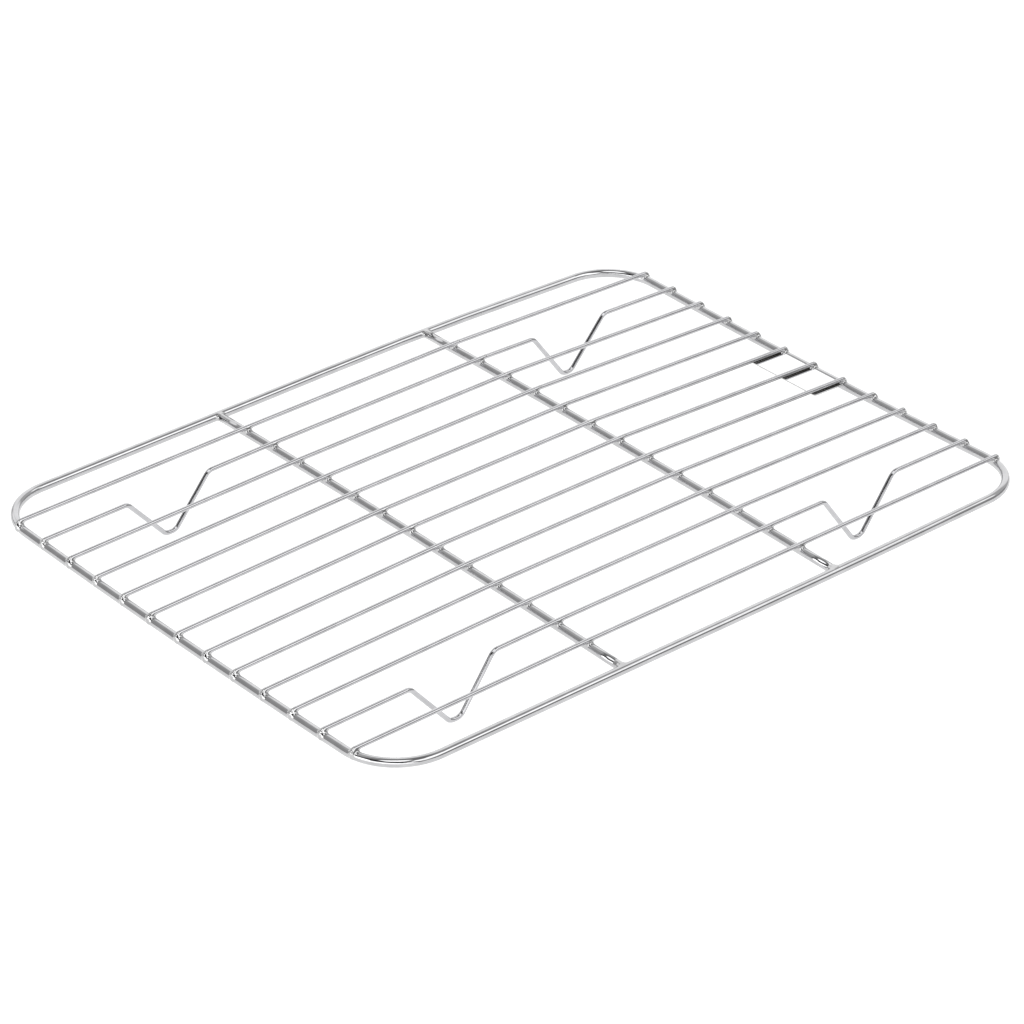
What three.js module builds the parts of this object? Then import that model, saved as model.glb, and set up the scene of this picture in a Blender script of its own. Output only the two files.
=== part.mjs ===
// Cooling rack of welded stainless wire: a thick wire bent into a rounded rectangle, two thick
// crossbars across it, thin grid wires laid along it on top, and a small plate under three of them.
// Two of the grid wires are bent down twice to make the four feet.
// Millimetres, +X along the grid wires, +Y across them, +Z up. The feet stand on z = 0 and the
// rack is centred on the origin.
import * as THREE from "three";

// Wires
const FRAME_WIRE_D = 4.2; // hoop and crossbars
const GRID_WIRE_D = 2.2; // grid wires and foot wires
const WELD_GAP = 0.2; // left open at each weld, so that every wire is a solid of its own

// Hoop: centre-line of the rounded rectangle
const HOOP_HALF_LENGTH = 186;
const HOOP_HALF_WIDTH = 142.5;
const HOOP_CORNER_R = 28;

// Members across the rack, which the grid wires rest on: the hoop's two end rails and the crossbars
// between them. Welding has pulled the rack slightly out of true, so each one has its own height of
// centre-line at its near and its far end, and its middle is bowed up from there by its rise.
const LEFT_RAIL = { x: -HOOP_HALF_LENGTH, near: 23.7, far: 19.9, rise: -2 };
const CROSSBARS = [
  { name: "crossbar_left", x: -59, near: 24, far: 21.6, rise: 1.4 },
  { name: "crossbar_right", x: 64, near: 24.2, far: 23.4, rise: 1.4 },
];
const RIGHT_RAIL = { x: HOOP_HALF_LENGTH, near: 25.4, far: 21.5, rise: -2 };

// Grid
const GRID_PITCH = 20;
const GRID_COUNT = 13;

// Grid wires that carry the feet, by place in the grid. A foot is a V, given by the x of its outer
// shoulder, its point and its inner shoulder. The lines of its two legs meet at the point, which is
// depth below the level that the rounded toe stands on.
const FOOT_WIRES = {
  2: {
    name: "foot_wire_far",
    depth: 2.25,
    left: [-141.1, -118, -96.1],
    right: [141.2, 118, 96.5],
  },
  12: {
    name: "foot_wire_near",
    depth: 2.65,
    left: [-140.3, -115.6, -95],
    right: [140.5, 119.3, 97],
  },
};
const FOOT_BEND_R = 4.5;

// Name plate: a blank sheet against the underside of the middle grid wires, next to an end rail
const PLATE_LENGTH = 18.7; // along x
const PLATE_WIDTH = 44.5;
const PLATE_T = 0.6;
const PLATE_CORNER_R = 1;
const PLATE_FROM_RAIL = 1.9; // from the middle of the end rail to the plate's outer edge

// Fineness of the solids
const HOOP_SIDES = 16;
const CROSSBAR_SIDES = 16;
const GRID_SIDES = 12;
const CORNER_STEPS = 16;
const RAIL_STEPS = 8;
const BEND_STEPS = 8;

const GRID_R = GRID_WIRE_D / 2;
const HOOP_R = FRAME_WIRE_D / 2;
const GRID_ABOVE_FRAME = HOOP_R + WELD_GAP + GRID_R; // centre-line to centre-line

// Point at y on the centre-line of a member across the rack. The bow is a parabola.
function memberPoint({ x, near, far, rise }, y) {
  const along = y / HOOP_HALF_WIDTH; // -1 at the near end, 1 at the far end
  const level = THREE.MathUtils.mapLinear(along, -1, 1, near, far);
  return new THREE.Vector3(x, y, level + rise * (1 - along ** 2));
}

// A centre-line of straight steps between stations. The wire's surface has one ring at each.
class WirePath extends THREE.Curve {
  constructor(stations) {
    super();
    this.stations = stations;
  }
  get steps() {
    return this.stations.length - 1;
  }
  getPoint(t, target = new THREE.Vector3()) {
    const step = Math.min(Math.floor(t * this.steps), this.steps - 1);
    return target.lerpVectors(this.stations[step], this.stations[step + 1], t * this.steps - step);
  }
  getPointAt(u, target) {
    return this.getPoint(u, target);
  }
  getTangentAt(u, target) {
    return this.getTangent(u, target);
  }
}

// A round wire's section as a polygon with the wire's diameter across its flats.
function wireSection(diameter, sides) {
  const half = Math.PI / sides;
  const corner = (k) => {
    const radius = diameter / 2 / Math.cos(half);
    return new THREE.Vector2(radius, 0).rotateAround(new THREE.Vector2(), (2 * k + 1) * half);
  };
  return new THREE.Shape(Array.from({ length: sides }, (_, k) => corner(k)));
}

function wireGeometry(stations, diameter, sides) {
  const path = new WirePath(stations);
  return new THREE.ExtrudeGeometry(wireSection(diameter, sides), {
    extrudePath: path,
    steps: path.steps,
  });
}

// Stainless steel, in a material of its own for each piece.
function steel(colour, roughness) {
  return new THREE.MeshStandardMaterial({ color: colour, metalness: 1, roughness });
}

function steelMesh(name, geometry, colour = 0xc8cace, roughness = 0.22) {
  const mesh = new THREE.Mesh(geometry, steel(colour, roughness));
  mesh.name = name;
  return mesh;
}

// Evenly spaced values from low to high, both included.
const spaced = (low, high, steps) =>
  Array.from({ length: steps + 1 }, (_, i) => THREE.MathUtils.lerp(low, high, i / steps));

// A side rail from its left corner to its right one, through the ends of the crossbars. It passes
// them on a smooth curve, so no bend shows.
function sideRail(sideY) {
  const cornerEnd = (rail) =>
    memberPoint(rail, sideY).setX(rail.x - Math.sign(rail.x) * HOOP_CORNER_R);
  const points = [
    cornerEnd(LEFT_RAIL),
    ...CROSSBARS.map((bar) => memberPoint(bar, sideY)),
    cornerEnd(RIGHT_RAIL),
  ];
  return new THREE.CatmullRomCurve3(points).getPoints(RAIL_STEPS);
}

// An end rail from its near corner to its far one.
function endRail(rail) {
  const straightY = HOOP_HALF_WIDTH - HOOP_CORNER_R;
  return spaced(-straightY, straightY, RAIL_STEPS).map((y) => memberPoint(rail, y));
}

// The arc of a hoop corner, without its two ends, which belong to the rails.
function hoopCorner(rail, signY, startAngle) {
  const angles = spaced(startAngle, startAngle + Math.PI / 2, CORNER_STEPS);
  const centreX = rail.x - Math.sign(rail.x) * HOOP_CORNER_R;
  const centreY = signY * (HOOP_HALF_WIDTH - HOOP_CORNER_R);
  return angles
    .slice(1, -1)
    .map((angle) =>
      memberPoint(rail, centreY + HOOP_CORNER_R * Math.sin(angle)).setX(
        centreX + HOOP_CORNER_R * Math.cos(angle),
      ),
    );
}

// Hoop: rails and corners in turn, all the way round to the left end of the near side rail, where
// the ring closes.
function hoop() {
  const stations = [
    ...sideRail(-HOOP_HALF_WIDTH),
    ...hoopCorner(RIGHT_RAIL, -1, -Math.PI / 2),
    ...endRail(RIGHT_RAIL),
    ...hoopCorner(RIGHT_RAIL, 1, 0),
    ...sideRail(HOOP_HALF_WIDTH).reverse(),
    ...hoopCorner(LEFT_RAIL, 1, Math.PI / 2),
    ...endRail(LEFT_RAIL).reverse(),
    ...hoopCorner(LEFT_RAIL, -1, Math.PI),
  ];
  const path = new WirePath([...stations, stations[0]]);
  return steelMesh("frame_hoop", new THREE.TubeGeometry(path, path.steps, HOOP_R, HOOP_SIDES, true));
}

// Crossbar: a slightly arched bar between the inner sides of the two side rails.
function crossbar(bar) {
  const reach = HOOP_HALF_WIDTH - HOOP_R - WELD_GAP;
  const stations = spaced(-reach, reach, RAIL_STEPS).map((y) => memberPoint(bar, y));
  return steelMesh(bar.name, wireGeometry(stations, FRAME_WIRE_D, CROSSBAR_SIDES));
}

// Points where the grid wire at y rests. It starts over the middle of one end rail and ends over
// the middle of the other.
function gridSupports(y) {
  const lift = new THREE.Vector3(0, 0, GRID_ABOVE_FRAME);
  return [LEFT_RAIL, ...CROSSBARS, RIGHT_RAIL].map((member) => memberPoint(member, y).add(lift));
}

// Point at x on the straight line from a to b.
function pointAtX(a, b, x) {
  return new THREE.Vector3().lerpVectors(a, b, (x - a.x) / (b.x - a.x));
}

// The bend at corner between two straight stretches, as an arc in equal steps.
function bend(before, corner, after, radius) {
  const arriving = corner.clone().sub(before).normalize();
  const leaving = after.clone().sub(corner).normalize();
  const turn = arriving.angleTo(leaving);
  const inward = leaving.clone().sub(arriving).normalize();
  const centre = corner.clone().addScaledVector(inward, radius / Math.cos(turn / 2));
  const outward = inward.clone().negate();
  const along = arriving.clone().add(leaving).normalize();
  return spaced(-turn / 2, turn / 2, BEND_STEPS).map((angle) =>
    centre
      .clone()
      .addScaledVector(outward, radius * Math.cos(angle))
      .addScaledVector(along, radius * Math.sin(angle)),
  );
}

// One foot between a wire's tip and its nearest crossbar: two shoulders on the straight wire and
// two toe corners, whose short level stretch stands on z = 0, all rounded.
function foot(tip, bar, [outerX, pointX, innerX], depth) {
  const point = new THREE.Vector3(pointX, tip.y, -depth);
  const shoulders = [outerX, innerX].map((x) => pointAtX(tip, bar, x));
  const toes = shoulders.map((shoulder) => {
    const up = THREE.MathUtils.inverseLerp(point.z, shoulder.z, GRID_R);
    return point.clone().lerp(shoulder, up);
  });
  const line = [tip, shoulders[0], ...toes, shoulders[1], bar];
  const corners = line.slice(1, -1);
  return corners.flatMap((corner, i) => bend(line[i], corner, line[i + 2], FOOT_BEND_R));
}

// Foot wire: a grid wire with a foot bent down near each end.
function footStations(y, { left, right, depth }) {
  const [leftTip, leftBar, rightBar, rightTip] = gridSupports(y);
  return [
    leftTip,
    ...foot(leftTip, leftBar, left, depth),
    leftBar,
    rightBar,
    ...foot(rightTip, rightBar, right, depth).reverse(),
    rightTip,
  ];
}

// Grid: the wires in order from the far side rail to the near one.
function grid() {
  const places = Array.from({ length: GRID_COUNT }, (_, i) => i + 1);
  return places.map((place) => {
    const y = ((GRID_COUNT + 1) / 2 - place) * GRID_PITCH;
    const footWire = FOOT_WIRES[place];
    const name = footWire?.name ?? `grid_wire_${String(place).padStart(2, "0")}`;
    const stations = footWire ? footStations(y, footWire) : gridSupports(y);
    return steelMesh(name, wireGeometry(stations, GRID_WIRE_D, GRID_SIDES));
  });
}

// Name plate: a sheet with rounded corners, lying against the underside of the middle grid wire and
// its two neighbours.
function namePlate() {
  const outline = new THREE.Shape();
  const [halfX, halfY] = [PLATE_LENGTH / 2, PLATE_WIDTH / 2];
  const quarter = Math.PI / 2;
  [[1, 1], [-1, 1], [-1, -1], [1, -1]].forEach(([signX, signY], i) => {
    const x = signX * (halfX - PLATE_CORNER_R);
    const y = signY * (halfY - PLATE_CORNER_R);
    outline.absarc(x, y, PLATE_CORNER_R, i * quarter, (i + 1) * quarter);
  });
  const geometry = new THREE.ExtrudeGeometry(outline, {
    depth: PLATE_T,
    bevelEnabled: false,
    curveSegments: 4,
  });
  const plate = steelMesh("name_plate", geometry, 0xe2e3e5, 0.06);
  const [, , bar, tip] = gridSupports(0);
  const middleX = RIGHT_RAIL.x - PLATE_FROM_RAIL - halfX;
  const along = tip.clone().sub(bar).normalize();
  const farWire = pointAtX(...gridSupports(GRID_PITCH).slice(2), middleX);
  const nearWire = pointAtX(...gridSupports(-GRID_PITCH).slice(2), middleX);
  const up = along.clone().cross(farWire.sub(nearWire)).normalize();
  plate.setRotationFromMatrix(new THREE.Matrix4().makeBasis(along, up.clone().cross(along), up));
  plate.position.copy(pointAtX(bar, tip, middleX));
  plate.translateZ(-GRID_R - WELD_GAP - PLATE_T);
  return plate;
}

const rack = new THREE.Group();
rack.add(hoop(), ...CROSSBARS.map(crossbar), ...grid(), namePlate());

export default rack;
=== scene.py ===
"""Cooling rack of welded stainless wire, on a pale floor in soft studio light.

Every wire is swept afresh along the centre-line of its CAD node and let down onto the wires under
it. Welds are modelled where wires touch. Lengths are metres.
"""

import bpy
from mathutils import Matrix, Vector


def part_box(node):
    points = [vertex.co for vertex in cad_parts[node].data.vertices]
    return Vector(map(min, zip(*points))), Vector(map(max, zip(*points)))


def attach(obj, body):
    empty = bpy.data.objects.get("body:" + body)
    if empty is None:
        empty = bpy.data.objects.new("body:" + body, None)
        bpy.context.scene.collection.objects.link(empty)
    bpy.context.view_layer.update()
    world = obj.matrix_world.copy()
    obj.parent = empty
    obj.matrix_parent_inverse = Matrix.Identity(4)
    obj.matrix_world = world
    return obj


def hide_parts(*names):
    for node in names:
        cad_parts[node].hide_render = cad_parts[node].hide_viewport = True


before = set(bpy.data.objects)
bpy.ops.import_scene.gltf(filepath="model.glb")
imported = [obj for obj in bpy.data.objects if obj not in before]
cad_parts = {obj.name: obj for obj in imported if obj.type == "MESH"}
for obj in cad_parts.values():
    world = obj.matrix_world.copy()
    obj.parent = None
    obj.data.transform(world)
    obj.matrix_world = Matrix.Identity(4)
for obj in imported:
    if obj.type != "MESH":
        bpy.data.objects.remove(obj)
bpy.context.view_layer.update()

import math
import random

import bmesh
import bpy
import numpy as np
from mathutils import Vector

MM = 0.001
random.seed(7)

SIDE_RAILS = "frame_hoop"
CROSSBARS = ("crossbar_left", "crossbar_right")
PLATE = "name_plate"
GRID = sorted(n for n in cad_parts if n.startswith(("grid_wire", "foot_wire")))

FIRST_RING = 0.2 * MM  # a CAD wire's vertices this close to its start are its first ring
SECTION_SIDES = 40  # sides of a wire's round section
SET_DOWN = 0.25 * MM  # the CAD's gap of 0.2 mm at a weld, and 0.05 mm that the weld sinks in
TIP_EDGE = 0.60 * MM  # rounding of a sheared wire end
BAR_END_SIZE = 0.985  # radius of a crossbar's end inside its weld, as a share of its own
STATION_OFFSETS = (0.7, 1.5, 2.5, 4, 6.5)  # mm from a weld to the extra stations on either side
STATION_GAP = 0.3 * MM  # least distance between an extra station and a bend

# Camera: lens on a 36 mm sensor, place, and rotation about X, Y and Z
CAMERA_LENS = 148.88
CAMERA_PLACE = Vector((-1.06294, -1.25128, 0.98920))
CAMERA_TURN = [math.radians(angle) for angle in (59.26, -0.453, -40.06)]


# --- Centre-lines of the CAD wires ---------------------------------------------------------------

def rings_from(ring):
    """Rings of vertices of a swept wire, walking along its edges from the first ring."""
    rings, seen = [ring], set(ring)
    while ring:
        ring = {edge.other_vert(vert) for vert in ring for edge in vert.link_edges} - seen
        seen |= ring
        if ring:
            rings.append(ring)
    return rings


def middle(verts):
    """The mean place of some vertices, summed in a fixed order so that rounding repeats."""
    ordered = sorted(verts, key=lambda vert: vert.index)
    return sum((vert.co for vert in ordered), Vector()) / len(ordered)


def wire_mesh(node):
    """A CAD node's mesh with its shared vertices merged."""
    mesh = bmesh.new()
    mesh.from_mesh(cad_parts[node].data)
    bmesh.ops.remove_doubles(mesh, verts=mesh.verts, dist=1e-6)
    mesh.verts.index_update()
    return mesh


def open_line(node, axis):
    """Centre-line of an open wire, from its lowest end along an axis."""
    mesh = wire_mesh(node)
    start = min(vert.co[axis] for vert in mesh.verts) + FIRST_RING
    line = [middle(ring) for ring in rings_from({v for v in mesh.verts if v.co[axis] < start})]
    mesh.free()
    return line


def hoop_line():
    """Centre-line of the hoop, from the middle of its left side round the near side."""
    mesh = wire_mesh(SIDE_RAILS)
    start = {v for v in mesh.verts if v.co.x < 0 and abs(v.co.y) < FIRST_RING}
    rings = rings_from(start)
    near = [middle([v for v in ring if v.co.y < 0]) for ring in rings[1:-1]]
    far = [middle([v for v in ring if v.co.y > 0]) for ring in rings[1:-1]]
    line = [middle(rings[0]), *near, middle(rings[-1]), *reversed(far)]
    mesh.free()
    return line


def wire_radius(node, axis):
    """Radius of a straight wire, from the size of its box across it."""
    low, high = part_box(node)
    return (high - low)[axis] / 2


hoop = hoop_line()
bars = {node: open_line(node, 1) for node in CROSSBARS}
grid = {node: open_line(node, 0) for node in GRID}
HOOP_R = wire_radius("crossbar_left", 0)
GRID_R = wire_radius("grid_wire_07", 1)


def crossings(line, axis, level, closed=False):
    """Points, with tangents, where a centre-line passes a level of one axis."""
    found = []
    ends = line[1:] + line[:1] if closed else line[1:]
    for start, end in zip(line, ends):
        reach = end[axis] - start[axis]
        if reach and 0 <= (level - start[axis]) / reach < 1:
            found.append((start.lerp(end, (level - start[axis]) / reach), (end - start).normalized()))
    return found


def let_down(line):
    """A grid wire lowered onto the frame. The toes of a foot wire stay on the floor."""
    top = max(point.z for point in line) - GRID_R
    return [point - Vector((0, 0, SET_DOWN * (point.z - GRID_R) / top)) for point in line]


grid = {node: let_down(line) for node, line in grid.items()}


# --- Mesh building -------------------------------------------------------------------------------

def quarter_turn(steps):
    """The angles of a right angle in even steps."""
    return [math.radians(90 * step / steps) for step in range(steps + 1)]


def new_piece(name, mesh, material, replaced=()):
    """Turns a bmesh into an object of the rack."""
    bmesh.ops.recalc_face_normals(mesh, faces=mesh.faces)
    data = bpy.data.meshes.new(name)
    mesh.to_mesh(data)
    mesh.free()
    data.shade_smooth()
    data.materials.append(material)
    piece = bpy.data.objects.new(name, data)
    bpy.context.scene.collection.objects.link(piece)
    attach(piece, "root")
    if replaced:
        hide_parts(*replaced)
    return piece


def with_stations(line, places, closed=False):
    """A centre-line with extra stations around each weld, so that the metal can change there."""
    offsets = [sign * offset * MM for offset in STATION_OFFSETS for sign in (-1, 1)] + [0]
    past_end = 7 * MM  # a weld this far past a stretch can still have stations on it
    aside = 3 * MM  # a weld further than this to the side belongs to another wire
    refined = []
    ends = line[1:] + line[:1] if closed else line[1:] + [None]
    for start, end in zip(line, ends):
        refined.append(start)
        if end is None:
            break
        length = (end - start).length
        way = (end - start) / length
        along = []
        for place in places:
            at = (place - start).dot(way)
            if abs(at) < length + past_end and (place - start - way * at).length < aside:
                along += [at + offset for offset in offsets]
        kept = [at for at in sorted(along) if STATION_GAP < at < length - STATION_GAP]
        refined += [start + way * at for at in kept]
    return refined


def rounded_tips(line, radius):
    """Stations and radii of an open wire whose sheared ends have rounded edges."""
    turns = quarter_turn(5)
    sizes = [radius - TIP_EDGE * (1 - math.cos(turn)) for turn in turns]
    ends = []
    for tip, beyond in ((line[0], line[1]), (line[-1], line[-2])):
        inward = (beyond - tip).normalized()
        ends.append([tip + inward * TIP_EDGE * (1 - math.sin(turn)) for turn in turns])
    stations = ends[0][::-1] + line[1:-1] + ends[1]
    return stations, sizes[::-1] + [radius] * (len(line) - 2) + sizes


def sweep(stations, radii, across, closed=False):
    """A round wire along stations. UV runs round it and along it, both in metres."""
    mesh = bmesh.new()
    uv_layer = mesh.loops.layers.uv.new("UVMap")
    count = len(stations)
    rings, lengths = [], [0.0]
    for i, station in enumerate(stations):
        before = stations[i - 1] if closed or i else station
        after = stations[(i + 1) % count] if closed or i + 1 < count else station
        tangent = (after - before).normalized()
        side = (across - tangent * across.dot(tangent)).normalized()
        up = tangent.cross(side)
        ring = []
        for k in range(SECTION_SIDES):
            angle = math.tau * k / SECTION_SIDES
            way = side * math.cos(angle) + up * math.sin(angle)
            ring.append(mesh.verts.new(station + way * radii[i]))
        rings.append(ring)
        lengths.append(lengths[-1] + (stations[(i + 1) % count] - station).length)
    girth = math.tau * max(radii)
    for i in range(count if closed else count - 1):
        one, two = rings[i], rings[(i + 1) % count]
        for k in range(SECTION_SIDES):
            n = (k + 1) % SECTION_SIDES
            face = mesh.faces.new((one[k], one[n], two[n], two[k]))
            u, v = k / SECTION_SIDES * girth, (k + 1) / SECTION_SIDES * girth
            spots = ((u, lengths[i]), (v, lengths[i]), (v, lengths[i + 1]), (u, lengths[i + 1]))
            for loop, spot in zip(face.loops, spots):
                loop[uv_layer].uv = spot
    if not closed:
        for ring, station in ((rings[0], stations[0]), (rings[-1], stations[-1])):
            hub = mesh.verts.new(station)
            for k in range(SECTION_SIDES):
                mesh.faces.new((ring[k], ring[(k + 1) % SECTION_SIDES], hub))
    return mesh


HEAT_REACH = 2.2 * MM  # how far from a weld its heat has marked the metal
PAINTED_SHADE_SLOPE = 0.25  # how much a surface faces down where the painted shade under a wire is at its darkest


def mark_heat(piece, places):
    """Stores how close each vertex is to a weld, from 0 to 1, for the material."""
    layer = piece.data.attributes.new("heat", "FLOAT", "POINT")
    for vert in piece.data.vertices:
        near = min((vert.co - place).length for place in places)
        layer.data[vert.index].value = math.exp(-((near / HEAT_REACH) ** 2) / 2)


def mark_painted_shade(piece, low, high):
    """Stores painted shade on the underside of a wire over the plate, darkest where it faces down."""
    layer = piece.data.attributes.new("painted_shade", "FLOAT", "POINT")
    for vert in piece.data.vertices:
        if low.x < vert.co.x < high.x:
            layer.data[vert.index].value = min(max(-vert.normal.z / PAINTED_SHADE_SLOPE, 0), 1)


# --- Materials -----------------------------------------------------------------------------------

class Nodes:
    """Short forms for building a node tree."""

    def __init__(self, tree):
        self.tree = tree
        tree.nodes.clear()

    def add(self, kind, inputs=None, **settings):
        node = self.tree.nodes.new(kind)
        for name, value in settings.items():
            setattr(node, name, value)
        for name, value in (inputs or {}).items():
            self.put(node.inputs[name], value)
        return node

    def put(self, socket, value):
        if isinstance(value, bpy.types.NodeSocket):
            self.tree.links.new(value, socket)
        else:
            socket.default_value = value

    def math(self, operation, *values):
        node = self.tree.nodes.new("ShaderNodeMath")
        node.operation = operation
        for socket, value in zip(node.inputs, values):
            self.put(socket, value)
        return node.outputs[0]

    def remap(self, value, old_low, old_high, low, high):
        ends = {"From Min": old_low, "From Max": old_high, "To Min": low, "To Max": high}
        return self.add("ShaderNodeMapRange", {"Value": value, **ends}).outputs["Result"]

    def coordinates(self, kind, stretched=(1, 1, 1)):
        """UV or object coordinates in metres, multiplied along each axis."""
        place = self.add("ShaderNodeTexCoord").outputs[kind]
        return self.add("ShaderNodeMapping", {"Vector": place, "Scale": stretched}).outputs["Vector"]

    def noise(self, place, scale, detail):
        inputs = {"Vector": place, "Scale": scale, "Detail": detail}
        return self.add("ShaderNodeTexNoise", inputs).outputs["Fac"]

    def attribute(self, name):
        return self.add("ShaderNodeAttribute", attribute_name=name).outputs["Fac"]

    def blend_colours(self, factor, one, two):
        """From colour one to colour two, as factor goes from 0 to 1."""
        node = self.add("ShaderNodeMix", {"Factor": factor}, data_type="RGBA")
        self.put(node.inputs["A"], one)
        self.put(node.inputs["B"], two)
        return node.outputs["Result"]

    def bump(self, height, strength, depth):
        inputs = {"Height": height, "Strength": strength, "Distance": depth}
        return self.add("ShaderNodeBump", inputs).outputs["Normal"]

    def surface(self, inputs):
        """The shader, with its inputs, as the material's surface."""
        shader = self.add("ShaderNodeBsdfPrincipled", inputs)
        self.add("ShaderNodeOutputMaterial", {"Surface": shader.outputs["BSDF"]})


def new_material(name):
    """An empty material, and its nodes."""
    material = bpy.data.materials.new(name)
    material.use_nodes = True
    return material, Nodes(material.node_tree)


LINES_PER_METRE = (900, 25, 1)  # drawing lines: narrow round the wire, long along it
CLOUDS_PER_METRE = 140  # cloudy polish of the wires
WAVES_PER_METRE = 90  # waviness of the plate
SCORES_PER_METRE = 2500  # scores across the plate's cut edge
WIPING_PER_METRE = (300, 2400, 300)  # wiping marks, longest along the grid wires
CLOUD_TONES = (0.94, 1.05)  # darkest and palest metal in the clouds, as shares of its colour
WELD_TINT = 0.8  # how much the weld's colour shows where the metal was hottest
WELD_DULLNESS = 0.10  # roughness that the heat adds there
PAINTED_SHADE_COLOUR = (0.05, 0.05, 0.045, 1)  # painted shade: near-black colour painted on the undersides of the wires over the plate


def steel(name, colour, weld_colour, roughness, line_strength):
    """Drawn and polished stainless wire: fine lines along it, cloudy polish, duller at welds, and
    painted shade on its underside over the plate.
    """
    material, nodes = new_material(name)
    lines = nodes.noise(nodes.coordinates("UV", LINES_PER_METRE), 1, 2)
    clouds = nodes.noise(nodes.coordinates("Object"), CLOUDS_PER_METRE, 4)
    heat = nodes.attribute("heat")
    darkest, palest = [(*[channel * share for channel in colour], 1) for share in CLOUD_TONES]
    tone = nodes.blend_colours(nodes.remap(clouds, 0.35, 0.65, 0, 1), darkest, palest)
    tone = nodes.blend_colours(nodes.math("MULTIPLY", heat, WELD_TINT), tone, (*weld_colour, 1))
    # painted shade: darkens the undersides of the wires that lie over the plate
    tone = nodes.blend_colours(nodes.attribute("painted_shade"), tone, PAINTED_SHADE_COLOUR)
    polish = nodes.remap(clouds, 0.3, 0.7, roughness * 0.75, roughness * 1.3)
    nodes.surface({
        "Base Color": tone, "Metallic": 1.0,
        "Roughness": nodes.math("ADD", polish, nodes.math("MULTIPLY", heat, WELD_DULLNESS)),
        "Normal": nodes.bump(lines, line_strength, 0.05 * MM)})
    return material


frame_steel = steel("frame_steel", (0.53, 0.53, 0.54), (0.46, 0.45, 0.43), 0.05, 0.15)
grid_steel = steel("grid_steel", (0.53, 0.53, 0.545), (0.48, 0.48, 0.48), 0.12, 0.15)
weld_steel = steel("weld_steel", (0.52, 0.52, 0.525), (0.52, 0.52, 0.52), 0.06, 0.0)


def sheared_edge():
    """Cut edge of the plate: duller, with fine scores across it."""
    material, nodes = new_material("sheared_edge")
    scores = nodes.noise(nodes.coordinates("Object"), SCORES_PER_METRE, 2)
    nodes.surface({
        "Base Color": (0.62, 0.62, 0.62, 1), "Metallic": 1.0,
        "Roughness": nodes.remap(scores, 0.3, 0.7, 0.25, 0.4),
        "Normal": nodes.bump(scores, 0.4, 0.05 * MM)})
    return material


def plate_steel():
    """Mirror-polished sheet, very slightly wavy, with faint wiping marks."""
    material, nodes = new_material("plate_steel")
    waves = nodes.noise(nodes.coordinates("Object"), WAVES_PER_METRE, 1)
    marks = nodes.noise(nodes.coordinates("Object", WIPING_PER_METRE), 1, 3)
    nodes.surface({
        "Base Color": (0.88, 0.88, 0.885, 1), "Metallic": 1.0,
        "Roughness": nodes.remap(marks, 0.3, 0.7, 0.015, 0.035),
        "Normal": nodes.bump(waves, 0.25, 0.1 * MM)})
    return material


# --- Wires ---------------------------------------------------------------------------------------

class Weld:
    """One place where a grid wire crosses and is welded to a member of the frame."""

    def __init__(self, member, wire, at, on_wire, along_wire, out):
        self.member, self.wire = member, wire
        self.at = at  # on the axis of the member
        self.on_wire, self.along_wire = on_wire, along_wire  # on the axis of the wire, and its way
        self.out = out  # which way the wire ends here: -1 or 1 along X, or 0 where it runs on


def find_welds():
    """Every weld of a grid wire: one at each end and one on each crossbar."""
    welds = []
    for node, line in grid.items():
        y = line[0].y
        for at, _ in crossings(hoop, 1, y, closed=True):
            if at.x < 0:
                welds.append(Weld("rail_left", node, at, line[0], line[1] - line[0], -1))
            else:
                welds.append(Weld("rail_right", node, at, line[-1], line[-1] - line[-2], 1))
        for bar in CROSSBARS:
            at, _ = crossings(bars[bar], 1, y)[0]
            on_wire, along_wire = crossings(line, 0, at.x)[0]
            welds.append(Weld(bar, node, at, on_wire, along_wire, 0))
    return welds


welds = find_welds()


def rail_beside(end):
    """The point on the axis of the nearer side rail that a crossbar's end faces."""
    on_rails = [at for at, _ in crossings(hoop, 0, end.x, closed=True)]
    return min(on_rails, key=lambda at: (at - end).length)


def build_hoop():
    places = [weld.at for weld in welds if weld.member.startswith("rail")]
    places += [end for line in bars.values() for end in (line[0], line[-1])]
    stations = with_stations(hoop, places, closed=True)
    mesh = sweep(stations, [HOOP_R] * len(stations), Vector((0, 0, 1)), closed=True)
    piece = new_piece("hoop", mesh, frame_steel, [SIDE_RAILS])
    mark_heat(piece, [place + Vector((0, 0, HOOP_R)) for place in places])


def build_crossbar(node):
    """A crossbar, run on until it touches the side rails, where its ends are welded."""
    places = [weld.at for weld in welds if weld.member == node]
    line = list(bars[node])
    for end, beyond in ((0, 1), (-1, -2)):
        rail = rail_beside(line[end])
        line[end] = rail + (line[beyond] - rail).normalized() * HOOP_R
    stations = with_stations(line, places)
    radii = [HOOP_R] * len(stations)
    radii[0] = radii[-1] = HOOP_R * BAR_END_SIZE
    mesh = sweep(stations, radii, Vector((1, 0, 0)))
    piece = new_piece(node.replace("crossbar", "bar"), mesh, frame_steel, [node])
    mark_heat(piece, [place + Vector((0, 0, HOOP_R)) for place in places])


def build_grid_wire(node):
    places = [weld.on_wire for weld in welds if weld.wire == node]
    stations, radii = rounded_tips(with_stations(grid[node], places), GRID_R)
    mesh = sweep(stations, radii, Vector((0, 1, 0)))
    name = node.replace("grid_wire", "wire").replace("foot_wire", "feet")
    piece = new_piece(name, mesh, grid_steel, [node])
    mark_heat(piece, [place - Vector((0, 0, GRID_R)) for place in places])
    low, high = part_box(PLATE)
    # painted shade on the undersides of the wires that lie over the plate
    if low[1] < grid[node][0].y < high[1]:
        mark_painted_shade(piece, Vector(low), Vector(high))


# --- Welds ---------------------------------------------------------------------------------------

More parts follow.
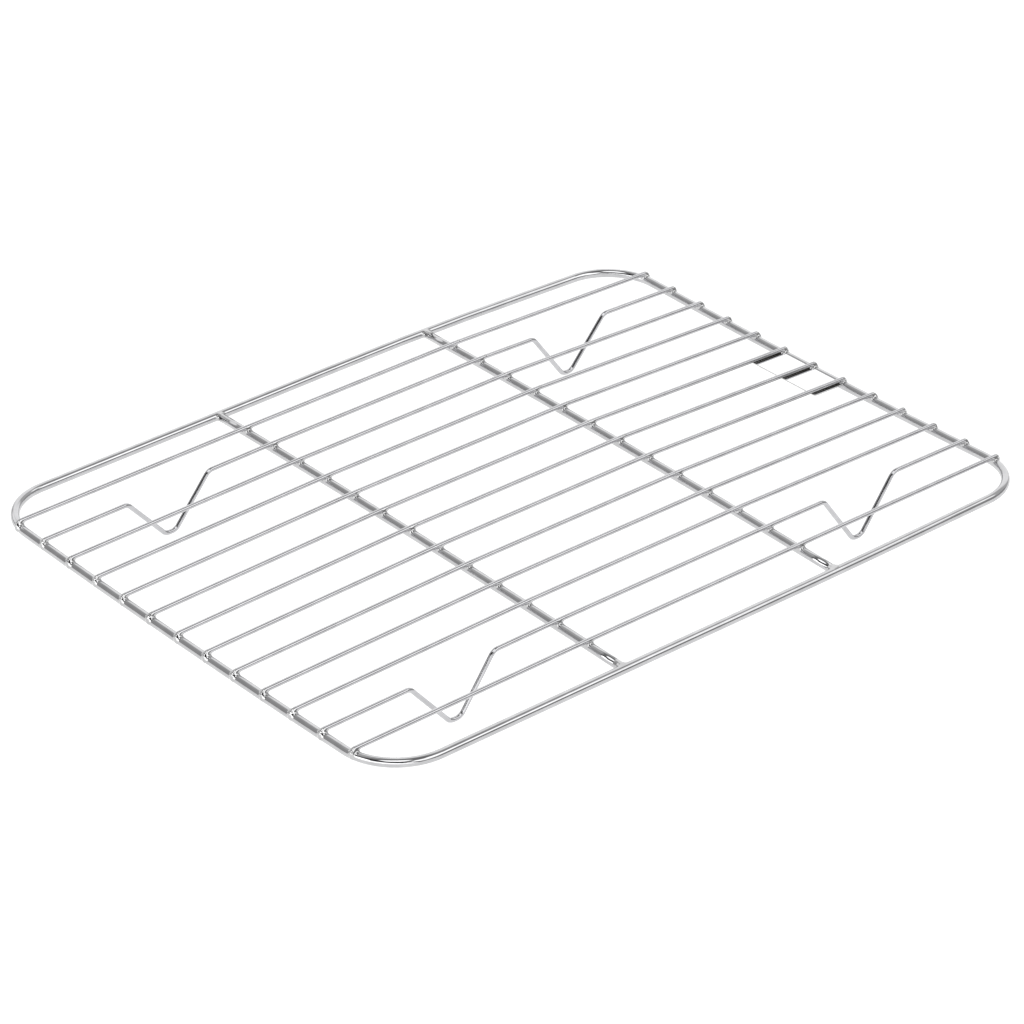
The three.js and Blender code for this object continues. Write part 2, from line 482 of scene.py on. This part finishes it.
WELD_INSIDE = 0.03 * MM  # how far a weld's own stubs stay inside the wires it joins
WELD_STUB = 6 * MM  # length of the stubs each way from a weld
WELD_REACH = 3.8 * MM  # how far a grid wire's weld spreads from where the wires touch
BAR_WELD_REACH = 4.2 * MM  # how far a crossbar's weld spreads
RAIL_STUB = 8 * MM  # length of the side rail's stub each way from a crossbar's weld
WELD_FILLET = (1.7, 2.3)  # mm that a grid wire's weld fills of a corner, least and most
BAR_WELD_FILLET = (1.8, 2.4)  # the same for a crossbar's weld
FAR_END_SIZE = 0.6  # size of the crossbars' far fillets, as a share of the near ones
FINE, PLAIN = 5, 4  # subdivisions of a weld's skin
HALVINGS = 13  # halvings of the search for a skin's surface, to within 1 micrometre

# Middle of a melted wire end, in mm out and up from where it touches the rail, and its radius
MELTED_END = (
    (0.1, 1.04, 1.08), (0.9, 0.55, 0.98), (1.45, -0.2, 0.82), (1.7, -1.1, 0.62), (1.7, -1.9, 0.4))


def distance_to(points, line, radii):
    """Distance of each point to a round bar along a line, whose radius changes evenly."""
    nearest = np.full(len(points), np.inf)
    for start, end, size, next_size in zip(line, line[1:], radii, radii[1:]):
        start, reach = np.array(start), np.array(end - start)
        along = np.clip((points - start) @ reach / (reach @ reach), 0, 1)
        gap = np.linalg.norm(points - start - along[:, None] * reach, axis=1)
        nearest = np.minimum(nearest, gap - size - along * (next_size - size))
    return nearest


def melted(one, two, fillet):
    """Smooth union of two distances: the concave corner between them is filled."""
    mix = np.maximum(fillet - abs(one - two), 0) / fillet
    return np.minimum(one, two) - mix * mix * fillet / 4


def add_weld(mesh, centre, bars_here, fillet, reach, fineness):
    """A closed skin round a welded joint, star-shaped about centre.

    It runs inside the joined bars apart from the corners between them, where it fills the corner.
    """
    verts = bmesh.ops.create_icosphere(mesh, subdivisions=fineness, radius=1)["verts"]
    ways = np.array([vert.co for vert in verts])
    near, far = np.zeros(len(ways)), np.full(len(ways), reach)
    for _ in range(HALVINGS):
        half = (near + far) / 2
        points = np.array(centre) + ways * half[:, None]
        level = distance_to(points, *bars_here[0])
        for bar_here in bars_here[1:]:
            level = melted(level, distance_to(points, *bar_here), fillet)
        near, far = np.where(level < 0, half, near), np.where(level < 0, far, half)
    for vert, way, length in zip(verts, ways, near):
        vert.co = centre + Vector(way * length)


def stretch(line, centre, reach, closed=False):
    """The stations of a centre-line near a point, with one more on either side."""
    count = len(line)
    away = [(point - centre).length for point in line]
    near = [i for i in range(count) if away[i] < reach] or [away.index(min(away))]
    if not closed:
        return line[max(near[0] - 1, 0):near[-1] + 2]
    if near[-1] - near[0] > count / 2:  # it runs on past the line's first station
        near = sorted(i - count if i >= count / 2 else i for i in near)
    return [line[i % count] for i in range(near[0] - 1, near[-1] + 2)]


def bar_along(line, radius):
    """A stub of wire for add_weld: its line, and its radius at each station."""
    return line, [radius - WELD_INSIDE] * len(line)


def melted_end(weld, contact):
    """The last stretch of a grid wire, melted over the outside of the end rail."""
    lean = random.uniform(-0.4, 0.1)
    inward = weld.along_wire.normalized() * -weld.out
    line = [weld.on_wire + inward * WELD_STUB, weld.on_wire + inward * MM]
    line += [contact + Vector((x * weld.out, lean * x, z)) * MM for x, z, _ in MELTED_END]
    sizes = [GRID_R, GRID_R] + [size * MM * random.uniform(0.97, 1.04) for _, _, size in MELTED_END]
    return line, [size - WELD_INSIDE for size in sizes]


def build_member_welds(member):
    """All welds of the grid wires to one member of the frame."""
    mesh = bmesh.new()
    line, closed = (bars[member], False) if member in bars else (hoop, True)
    for weld in [weld for weld in welds if weld.member == member]:
        contact = weld.at + (weld.on_wire - weld.at).normalized() * HOOP_R
        if weld.out:
            wire = melted_end(weld, contact)
        else:
            along = weld.along_wire.normalized() * WELD_STUB
            wire = bar_along([weld.on_wire - along, weld.on_wire + along], GRID_R)
        parts = [bar_along(stretch(line, weld.at, WELD_STUB, closed), HOOP_R), wire]
        fillet = random.uniform(*WELD_FILLET) * MM
        add_weld(mesh, contact, parts, fillet, WELD_REACH, FINE if weld.out else PLAIN)
    new_piece(f"welds_{member}", mesh, weld_steel)


def build_bar_ends():
    """Flared welds where the crossbars meet the side rails.

    The stub of the crossbar starts clear of the rail's axis, so that the skin stays inside the
    rail's outer side.
    """
    stub_start, stub_end, middle_at = 1.3 * HOOP_R, 4 * HOOP_R, 0.85 * HOOP_R
    mesh = bmesh.new()
    for line in bars.values():
        for end in (line[0], line[-1]):
            rail = rail_beside(end)
            inward = (end - rail).normalized()
            bar = bar_along([rail + inward * stub_start, rail + inward * stub_end], HOOP_R)
            parts = [bar_along(stretch(hoop, rail, RAIL_STUB, closed=True), HOOP_R), bar]
            fillet = random.uniform(*BAR_WELD_FILLET) * MM * (1 if end.y < 0 else FAR_END_SIZE)
            add_weld(mesh, rail + inward * middle_at, parts, fillet, BAR_WELD_REACH, FINE)
    new_piece("welds_bar_ends", mesh, weld_steel)


# --- Name plate ----------------------------------------------------------------------------------

PLATE_EDGE = 0.15 * MM  # rounding of the plate's edges
PLATE_CORNER = 1.0 * MM  # radius of its corners
PLATE_RISE = 0.05 * MM  # how far it is raised to meet the wires, which are let down onto it
SMALLEST_CORNER = 0.02 * MM  # radius that the corners of its inner rings keep


def rounded_outline(half_x, half_y, inset):
    """Points round the plate's outline, moved inwards by inset."""
    size = max(PLATE_CORNER - inset, SMALLEST_CORNER)
    reach_x, reach_y = half_x - inset - size, half_y - inset - size
    points = []
    for quarter, (sign_x, sign_y) in enumerate(((1, 1), (-1, 1), (-1, -1), (1, -1))):
        for turn in quarter_turn(8):
            angle = math.radians(90 * quarter) + turn
            x = sign_x * reach_x + size * math.cos(angle)
            y = sign_y * reach_y + size * math.sin(angle)
            points.append((x, y))
    return points


def build_plate():
    """Thin sheet with rounded corners and edges, welded under the middle grid wires."""
    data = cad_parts[PLATE].data
    up = max(data.polygons, key=lambda face: face.area).normal.copy()
    if up.z < 0:
        up.negate()
    centre = middle(data.vertices)
    along = (Vector((1, 0, 0)) - up * up.x).normalized()
    across = up.cross(along)
    half_x, half_y, half_z = [
        max(abs((vert.co - centre).dot(way)) for vert in data.vertices) for way in (along, across, up)]
    centre += up * PLATE_RISE
    rings = [(2.0 * MM, half_z), (0.35 * MM, half_z)]  # inset and height of each ring of vertices
    for turn in quarter_turn(4):
        rings.append((PLATE_EDGE * (1 - math.sin(turn)), half_z - PLATE_EDGE * (1 - math.cos(turn))))
    rings += [(inset, -height) for inset, height in reversed(rings)]
    sheared = range(3, len(rings) - 4)  # the rings that start a strip of the cut edge
    mesh = bmesh.new()
    loops = []
    for inset, height in rings:
        level = centre + up * height
        outline = rounded_outline(half_x, half_y, inset)
        loops.append([mesh.verts.new(level + along * x + across * y) for x, y in outline])
    for i, (one, two) in enumerate(zip(loops, loops[1:])):
        count = len(one)
        for k in range(count):
            n = (k + 1) % count
            face = mesh.faces.new((one[k], one[n], two[n], two[k]))
            face.material_index = int(i in sheared)
    mesh.faces.new(loops[0])
    mesh.faces.new(loops[-1])
    plate = new_piece("plate", mesh, plate_steel(), [PLATE])
    plate.data.materials.append(sheared_edge())


# --- Stage ---------------------------------------------------------------------------------------

FLOOR_HALF = 4  # half the width of the floor
FLOOR_GLOW = 0.85  # the table is white acrylic, lit from below


def build_floor():
    mesh = bmesh.new()
    bmesh.ops.create_grid(mesh, x_segments=1, y_segments=1, size=FLOOR_HALF)
    data = bpy.data.meshes.new("floor")
    mesh.to_mesh(data)
    mesh.free()
    floor = bpy.data.objects.new("floor", data)
    bpy.context.scene.collection.objects.link(floor)
    material, nodes = new_material("floor_acrylic")
    grain = nodes.noise(nodes.coordinates("Object"), 30, 3)
    nodes.surface({
        "Base Color": (0.35, 0.35, 0.35, 1), "Roughness": nodes.remap(grain, 0.3, 0.7, 0.75, 0.9),
        "Specular IOR Level": 0.1, "Emission Color": (1, 1, 1, 1), "Emission Strength": FLOOR_GLOW})
    data.materials.append(material)


# Studio as seen from the rack. Each patch is a direction, the angles in degrees from it where the
# patch is full and where it has faded out, and its brightness. Later patches cover earlier ones.
# The camera looks in from the near left corner, 31 degrees above the floor.
STUDIO_WALLS = 0.44  # brightness where no patch is
STUDIO_PATCHES = [
    ((0.70, 0.62, 0.35), 25, 45, 1.28),  # white wall on the right, at the back
    ((-0.12, 0.90, 0.42), 13, 19, 1.28),  # the same wall, straight back
    ((0.95, -0.05, 0.30), 33, 40, 0.64),  # reflector on the right
    ((0.84, 0.45, 0.30), 12, 20, 1.28),  # white wall beside the reflector
    ((0.92, -0.32, 0.12), 11, 18, 0.40),  # darker gap low in the reflector
    ((0.66, -0.32, 0.69), 5, 10, 1.9),  # small lamp over the reflector
    ((-0.20, -0.20, 0.95), 25, 40, 0.25),  # dim ceiling
    ((-0.32, -0.25, 0.91), 13, 19, 2.2),  # softbox in the ceiling
    ((-0.15, 0.50, 0.85), 10, 19, 0.64),  # paler ceiling at the back
    ((-0.85, -0.05, 0.50), 20, 28, 0.04),  # dark room on the left
    ((-0.93, 0.10, 0.30), 11, 14, 3.2),  # softbox in that room
    ((0.36, -0.69, 0.63), 15, 20, 2.1),  # softbox on the near side
    ((0.00, -0.82, 0.57), 12, 18, 2.1),  # second one to its left
    ((0.52, -0.84, 0.10), 16, 24, 0.30),  # dark room under these two
    ((0.72, -0.62, 0.30), 9, 16, 0.40),  # dark room to their right
    ((-0.35, -0.93, 0.05), 12, 20, 0.08),  # dark room on the camera's right, low
    ((-0.66, -0.55, 0.50), 18, 26, 0.03),  # dark room behind the camera
    ((-0.69, -0.32, -0.64), 63, 65.5, 2.4),  # low white wall from the left to the camera
    ((-0.45, -0.86, 0.20), 8, 11, 1.9),  # white card on the camera's right
]
BACKDROP = 1.0  # brightness that the camera itself sees above the floor


def build_world():
    world = bpy.data.worlds.new("studio")
    bpy.context.scene.world = world
    world.use_nodes = True
    nodes = Nodes(world.node_tree)
    way = nodes.add("ShaderNodeTexCoord").outputs["Generated"]
    level = STUDIO_WALLS
    for direction, full, faded, brightness in STUDIO_PATCHES:
        dot = nodes.add("ShaderNodeVectorMath", operation="DOT_PRODUCT")
        nodes.put(dot.inputs[0], way)
        nodes.put(dot.inputs[1], Vector(direction).normalized())
        cover = nodes.add("ShaderNodeMapRange", {
            "Value": dot.outputs["Value"], "From Min": math.cos(math.radians(faded)),
            "From Max": math.cos(math.radians(full))}, interpolation_type="SMOOTHSTEP")
        level = nodes.add("ShaderNodeMix", {
            "Factor": cover.outputs["Result"], "A": level, "B": brightness}).outputs["Result"]
    seen = nodes.add("ShaderNodeLightPath").outputs["Is Camera Ray"]
    level = nodes.add("ShaderNodeMix", {"Factor": seen, "A": level, "B": BACKDROP}).outputs["Result"]
    shader = nodes.add("ShaderNodeBackground", {"Color": (1, 1, 1, 1), "Strength": level})
    nodes.add("ShaderNodeOutputWorld", {"Surface": shader.outputs["Background"]})


def build_camera():
    data = bpy.data.cameras.new("camera")
    data.sensor_width = 36
    data.lens = CAMERA_LENS
    data.clip_end = 50
    camera = bpy.data.objects.new("camera", data)
    camera.location = CAMERA_PLACE
    camera.rotation_euler = CAMERA_TURN
    bpy.context.scene.collection.objects.link(camera)
    bpy.context.scene.camera = camera


build_camera()
build_world()
build_floor()
build_hoop()
for bar in CROSSBARS:
    build_crossbar(bar)
for wire in GRID:
    build_grid_wire(wire)
for member in ("rail_left", *CROSSBARS, "rail_right"):
    build_member_welds(member)
build_bar_ends()
build_plate()
bpy.context.scene.view_settings.view_transform = "Standard"
